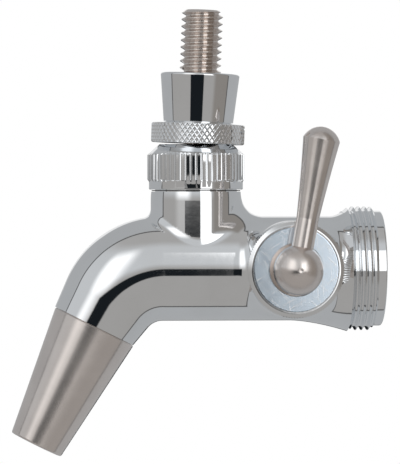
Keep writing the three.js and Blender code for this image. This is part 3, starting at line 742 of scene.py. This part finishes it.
def retaining_ring():
    r, low, high = RING["r"], RING["bottom"], RING["top"]
    bevel_r, bevel, proud = 10.2, 0.55, 0.02
    foot_in, foot_up, lip_in, lip_down = 0.15, 0.2, 0.08, 0.03
    ring = fluted("ring_knurled", r, depth=0.16, flutes=112, crest=0.3,
                  low=low, high=high + 1, place=AT_BOSS)
    envelope = turned("ring_envelope", [
        [0, low], [r - foot_in, low], [r + proud, low + foot_up], [r + proud, high - bevel],
        [bevel_r, high - lip_down], [bevel_r - lip_in, high], [0, high],
    ], AT_BOSS)
    combine(ring, [envelope], "INTERSECT")
    combine(ring, [
        rod("ring_thread", BOSS["spigot"] + GAP, low - 1, RING["web"], AT_BOSS),
        rod("ring_hole", RING["web_r"], low - 1, high + 1, AT_BOSS),
        rod("ring_recess", RING["recess"], RING["floor"], high + 1, AT_BOSS),
    ], "DIFFERENCE")
    return smooth(ring, 25)


def flow_hub():
    """The ball at the root of the side lever: a centre mark, a flat for the arm and a square stem."""
    h = HUB
    start = math.degrees(math.asin(h["neck"] / h["r"])) - 90
    mark, depth = 0.38, 0.16
    hub = turned("hub_ball", [
        [0, h["shoulder"]], [h["neck"], h["shoulder"]], *arc(0, h["v"], h["r"], start, 86, 40),
        [mark, h["v"] + h["r"] - 0.02], [0, h["v"] + h["r"] - depth],
    ], AT_BOSS)
    half = h["stem"]
    stem = block("hub_stem", (-half, -half, h["stem_end"]), (half, half, h["shoulder"] + 1), AT_BOSS)
    combine(hub, [stem], "UNION")
    cutter_r = 4
    combine(hub, [rod("hub_flat", cutter_r, h["flat"], h["r"] + 2, ON_ARM, 48)], "DIFFERENCE")
    return smooth(hub)


def flow_arm():
    """The tapered arm: straight above the hub, then flaring in a slight bow to its domed end."""
    a = ARM
    start = HUB["flat"] + 0.02
    flare = [[a["r"], a["straight"]]]
    steps = 14
    for i in range(1, steps + 1):
        t = i / steps
        h = a["straight"] + (a["top"] - a["straight"]) * t
        bow = a["bow"] * t * (1 - t)
        flare.append([a["r"] + (a["top_r"] - a["r"]) * t - bow, h])
    dome_r = (a["top_r"] ** 2 + a["dome"] ** 2) / (2 * a["dome"])
    edge = math.degrees(math.acos(a["top_r"] / dome_r))
    chamfer = 0.1
    profile = [[0, start], [a["r"] - chamfer, start], [a["r"], start + chamfer], *flare]
    profile += arc(0, a["top"] + a["dome"] - dome_r, dome_r, edge, 90, 14)
    return turned("arm_satin", profile, ON_ARM)


def bonnet_gasket():
    g = GASKET
    inner, outer = NECK["spigot"] + GAP, NECK["r"] - g["inset"]
    return smooth(tube("gasket_under_bonnet", inner, outer, g["bottom"], g["top"], ON_NECK, g["bevel"]))


def cap_disc():
    d = DISC
    return smooth(tube("cap_disc", d["inner"], d["outer"], d["bottom"], d["top"], AT_BOSS, d["bevel"]))


# ------------------------------------------------------------------ node tools


class Nodes:
    """Adds shader nodes; an input may be a number, a colour or another node's output."""

    def __init__(self, tree):
        self.tree = tree
        tree.nodes.clear()

    def add(self, kind, inputs=(), **settings):
        node = self.tree.nodes.new(kind)
        for key, value in settings.items():
            setattr(node, key, value)
        for key, value in dict(inputs).items():
            if isinstance(value, bpy.types.NodeSocket):
                self.tree.links.new(value, node.inputs[key])
            else:
                node.inputs[key].default_value = value
        return node

    def maths(self, operation, *values):
        node = self.add("ShaderNodeMath", dict(enumerate(values)), operation=operation)
        return node.outputs[0]

    def dot(self, vector, direction):
        node = self.add("ShaderNodeVectorMath", {0: vector, 1: direction}, operation="DOT_PRODUCT")
        return node.outputs["Value"]

    def rise(self, value, start, end):
        """0 before start, 1 after end, and a smooth step between."""
        node = self.add("ShaderNodeMapRange", {"Value": value, "From Min": start, "From Max": end},
                        interpolation_type="SMOOTHSTEP")
        return node.outputs["Result"]

    def band(self, value, low, high, soft):
        up = self.rise(value, low - soft, low + soft)
        down = self.rise(value, high - soft, high + soft)
        return self.maths("SUBTRACT", up, down)

    def mix(self, factor, a, b):
        """The colour a where the factor is 0 and b where it is 1."""
        node = self.add("ShaderNodeMix", {0: factor, 6: a, 7: b}, data_type="RGBA")
        return node.outputs[2]

    def noise(self, vector, scale, detail=2.0):
        node = self.add("ShaderNodeTexNoise", {"Vector": vector, "Scale": scale, "Detail": detail})
        return node.outputs["Fac"]

    def stretched(self, vector, scale):
        node = self.add("ShaderNodeMapping", {"Vector": vector, "Scale": scale})
        return node.outputs["Vector"]

    def bump(self, height, distance, strength=1.0, normal=None):
        inputs = {"Height": height, "Distance": distance, "Strength": strength}
        if normal is not None:
            inputs["Normal"] = normal
        return self.add("ShaderNodeBump", inputs).outputs["Normal"]


def material(name, build):
    made = bpy.data.materials.new(name)
    made.use_nodes = True
    nodes = Nodes(made.node_tree)
    where = nodes.add("ShaderNodeTexCoord").outputs["Object"]
    shader = nodes.add("ShaderNodeBsdfPrincipled")
    for key, value in build(nodes, where).items():
        if isinstance(value, bpy.types.NodeSocket):
            made.node_tree.links.new(value, shader.inputs[key])
        else:
            shader.inputs[key].default_value = value
    output = nodes.add("ShaderNodeOutputMaterial")
    made.node_tree.links.new(shader.outputs[0], output.inputs["Surface"])
    return made


# ------------------------------------------------------------------ materials, texture scales per metre


def chrome(nodes, where):
    """Bright plating over polished brass: a faint orange peel, faint hairlines, and hazier patches."""
    peel = nodes.noise(where, scale=260.0, detail=3.0)
    hair = nodes.noise(nodes.stretched(where, (900.0, 900.0, 90.0)), scale=4.0, detail=4.0)
    haze = nodes.rise(nodes.noise(where, scale=90.0, detail=4.0), 0.35, 0.75)
    normal = nodes.bump(peel, distance=0.0001, strength=0.05)
    normal = nodes.bump(hair, distance=0.000006, strength=0.05, normal=normal)
    return {
        "Base Color": nodes.mix(haze, (0.90, 0.915, 0.93, 1), (0.86, 0.87, 0.88, 1)),
        "Metallic": 1.0,
        "Roughness": nodes.maths("MULTIPLY_ADD", haze, 0.03, 0.035),
        "Normal": normal,
    }


def scuffed_chrome(nodes, where):
    """The flat cap disc: lapped and mottled, with scratches in three directions."""
    scratches = []
    for angle, squeeze in ((0.5, 40.0), (1.3, 60.0), (2.4, 50.0)):
        turn = nodes.add("ShaderNodeMapping", {"Vector": where, "Rotation": (0, 0, angle)})
        squeezed = nodes.stretched(turn.outputs["Vector"], (1.0, squeeze, 1.0))
        lines = nodes.noise(squeezed, scale=160.0, detail=3.0)
        scratches.append(nodes.rise(lines, 0.62, 0.72))
    marks = nodes.maths("MAXIMUM", nodes.maths("MAXIMUM", *scratches[:2]), scratches[2])
    mottle = nodes.noise(where, scale=420.0, detail=5.0)
    return {
        "Base Color": nodes.mix(marks, (0.72, 0.82, 0.92, 1), (0.95, 0.96, 0.97, 1)),
        "Metallic": 1.0,
        "Roughness": nodes.maths("MULTIPLY_ADD", mottle, 0.08, 0.08),
        "Normal": nodes.bump(marks, distance=0.000004, strength=0.25),
    }


def turned_steel(tint, roughness, spacing):
    """Satin stainless steel with the fine rings that a lathe leaves about the piece's own Z axis."""

    def build(nodes, where):
        along = nodes.stretched(where, (30.0, 30.0, 1.0 / spacing))
        rings = nodes.noise(along, scale=1.0)
        cloud = nodes.noise(where, scale=140.0, detail=4.0)
        dark = tuple(c * 0.93 for c in tint) + (1,)
        return {
            "Base Color": nodes.mix(nodes.rise(cloud, 0.3, 0.7), dark, tuple(tint) + (1,)),
            "Metallic": 1.0,
            "Roughness": nodes.maths("MULTIPLY_ADD", cloud, 0.08, roughness - 0.04),
            "Anisotropic": 0.75,
            "Anisotropic Rotation": 0.25,
            "Tangent": nodes.add("ShaderNodeTangent", direction_type="RADIAL", axis="Z").outputs[0],
            "Normal": nodes.bump(rings, distance=0.00002, strength=0.35),
        }

    return build


def rubber(nodes, where):
    grain = nodes.noise(where, scale=2500.0, detail=4.0)
    return {
        "Base Color": nodes.mix(grain, (0.012, 0.012, 0.013, 1), (0.03, 0.03, 0.032, 1)),
        "Roughness": nodes.maths("MULTIPLY_ADD", grain, 0.2, 0.45),
        "Normal": nodes.bump(grain, distance=0.00004, strength=0.4),
    }


def acetal(nodes, where):
    grain = nodes.noise(where, scale=900.0, detail=3.0)
    return {
        "Base Color": nodes.mix(grain, (0.74, 0.73, 0.69, 1), (0.82, 0.81, 0.78, 1)),
        "Roughness": nodes.maths("MULTIPLY_ADD", grain, 0.15, 0.32),
        "Normal": nodes.bump(grain, distance=0.00003, strength=0.3),
    }


CHROME = material("plated_chrome", chrome)
SCUFFED = material("lapped_disc", scuffed_chrome)
SATIN = material("turned_stainless", turned_steel((0.86, 0.80, 0.765), 0.24, spacing=0.00025))
BRIGHT_STEEL = material("machined_stainless", turned_steel((0.80, 0.74, 0.70), 0.18, spacing=0.0004))
SPRING = material("spring_steel_strip", turned_steel((0.55, 0.56, 0.58), 0.3, spacing=0.0005))
RUBBER = material("black_rubber", rubber)
ACETAL = material("white_acetal", acetal)

# ------------------------------------------------------------------ the faucet

finish(faucet_body(), CHROME, "chrome", "body", "faucet_body")
finish(smooth(nozzle(), 40), SATIN, "stainless", "body", "spout_nozzle")
finish(bonnet(), CHROME, "chrome", "body", "bonnet")
finish(bonnet_gasket(), RUBBER, "rubber", "body", "bonnet_gasket")
finish(retaining_ring(), CHROME, "chrome", "body", "flow_retaining_ring")
finish(cap_disc(), SCUFFED, "chrome", "body", "flow_cap_disc")
finish(lever(), BRIGHT_STEEL, "stainless", "lever", "tap_lever")
finish(smooth(jacket(), 30), CHROME, "chrome", "lever", "lever_jacket")
finish(lock_ring(), CHROME, "chrome", "lever", "jacket_lock_ring")
finish(flow_hub(), SATIN, "stainless", "flow_control", "flow_lever_hub")
finish(smooth(flow_arm(), 30), SATIN, "stainless", "flow_control", "flow_lever_arm")

NODE_LOOKS = {
    RUBBER: ["nozzle_o_ring", "coupling_gasket", "ball_o_ring", "shaft_seat_o_ring",
             "flow_plug_o_ring_inner", "flow_plug_o_ring_outer"],
    ACETAL: ["upper_ball_cup", "lower_ball_cup", "friction_washer", "flow_thrust_washer"],
    SPRING: ["flow_wave_washer"],
    BRIGHT_STEEL: ["valve_shaft", "flow_plug"],
}
for look, names in NODE_LOOKS.items():
    for name in names:
        for slot in bpy.data.objects[name].material_slots:
            slot.material = look

# ------------------------------------------------------------------ studio

CAMERA_AT = Vector((-0.124, -0.92, 0.0204))
CAMERA_AIM = Vector((-0.0418, 0, 0.0084))
LIGHT_AIM = Vector((-0.04, 0, 0))
FLOOR = {"z": -270.0, "half": 2000.0}

camera = bpy.data.objects.new("camera", bpy.data.cameras.new("camera"))
camera.data.sensor_fit = "HORIZONTAL"
camera.data.lens = 361.0
camera.location = CAMERA_AT
camera.rotation_euler = (CAMERA_AIM - CAMERA_AT).to_track_quat("-Z", "Y").to_euler()
scene.collection.objects.link(camera)
scene.camera = camera
scene.view_settings.view_transform = "Standard"


def studio_world():
    """A soft studio: what the chrome mirrors, by azimuth and elevation from the side that is looked at."""
    world = bpy.data.worlds.new("studio")
    scene.world = world
    world.use_nodes = True
    n = Nodes(world.node_tree)
    direction = n.add("ShaderNodeTexCoord").outputs["Generated"]
    towards = (CAMERA_AT - CAMERA_AIM).normalized()
    level = Vector((towards.x, towards.y, 0)).normalized()
    right = Vector((-level.y, level.x, 0))
    ahead = n.dot(direction, level)
    to_degrees = 180 / math.pi
    azimuth = n.maths("MULTIPLY", n.maths("ARCTAN2", n.dot(direction, right), ahead), to_degrees)
    elevation = n.maths("MULTIPLY", n.maths("ARCSINE", n.dot(direction, (0, 0, 1))), to_degrees)
    away = n.maths("MULTIPLY", n.maths("ARCCOSINE", ahead), to_degrees)

    def grey(value, warmth=0.0):
        return (value * (1 + warmth), value, value * (1 - warmth), 1)

    def patch(under, tint, azimuths, elevations, soft):
        """Paints a soft-edged panel over what is there, its ranges in degrees."""
        mask = n.maths("MULTIPLY", n.band(azimuth, *azimuths, soft), n.band(elevation, *elevations, soft))
        return n.mix(mask, under, tint)

    # a table below, a pale ceiling above and a greyer wall on the right
    colour = n.mix(n.rise(elevation, 0, 14), grey(0.36, 0.03), grey(0.58, -0.02))
    colour = n.mix(n.rise(elevation, 46, 66), colour, grey(0.40, 0.02))
    colour = patch(colour, grey(0.24, 0.08), azimuths=(45, 200), elevations=(-22, 75), soft=7)

    # a soft window on the left, a soft panel on the right, and the dark side that the camera stands on
    dark = grey(0.012, -0.2)
    colour = patch(colour, grey(1.25), azimuths=(-50, -16), elevations=(4, 46), soft=9)
    colour = patch(colour, grey(1.6), azimuths=(12, 40), elevations=(-4, 36), soft=1.5)
    colour = patch(colour, dark, azimuths=(-28, 11.5), elevations=(-15, 0), soft=1.2)

    # the backdrop, behind a thin dark edge, with a dark strip and a pale panel straight behind
    colour = n.mix(n.rise(away, 91, 97), colour, grey(0.42, -0.02))
    colour = n.mix(n.band(away, 91, 94, 1.2), colour, grey(0.08))
    behind = n.band(n.maths("ABSOLUTE", azimuth), 160, 200, soft=2)
    low_strip = n.maths("MULTIPLY", behind, n.band(elevation, -16, -4, soft=2))
    high_panel = n.maths("MULTIPLY", behind, n.band(elevation, 5, 24, soft=2))
    colour = n.mix(low_strip, colour, dark)
    colour = n.mix(high_panel, colour, grey(0.85))

    # the camera itself sees white behind the faucet
    seen = n.add("ShaderNodeLightPath").outputs["Is Camera Ray"]
    shown = n.mix(seen, colour, (1, 1, 1, 1))
    background = n.add("ShaderNodeBackground", {"Color": shown, "Strength": 1.0})
    output = n.add("ShaderNodeOutputWorld")
    world.node_tree.links.new(background.outputs[0], output.inputs["Surface"])


def matt_paint(nodes, where):
    tone = nodes.noise(where, scale=6.0, detail=3.0)
    return {
        "Base Color": nodes.mix(tone, (0.80, 0.80, 0.80, 1), (0.84, 0.84, 0.84, 1)),
        "Roughness": 0.9,
    }


def pale_floor():
    """A level floor well below the faucet, which the chrome doesn't mirror."""
    half = FLOOR["half"]
    corners = [(-half, -half, 0), (half, -half, 0), (half, half, 0), (-half, half, 0)]
    floor = mesh_object("floor", corners, [(0, 1, 2, 3)], placed((0, 0, FLOOR["z"])))
    floor.visible_glossy = False
    floor.data.materials.append(material("pale_floor", matt_paint))


def soft_light(name, place, size, power):
    """A wide disc that lights the faucet from above, and doesn't show in the chrome."""
    light = bpy.data.lights.new(name, "AREA")
    light.shape = "DISK"
    light.size = size
    light.energy = power
    lamp = bpy.data.objects.new(name, light)
    lamp.location = place
    lamp.rotation_euler = (LIGHT_AIM - Vector(place)).to_track_quat("-Z", "Y").to_euler()
    lamp.visible_glossy = False
    scene.collection.objects.link(lamp)


studio_world()
pale_floor()
soft_light("overhead", (-0.3, -0.5, 1.4), size=1.2, power=14.0)
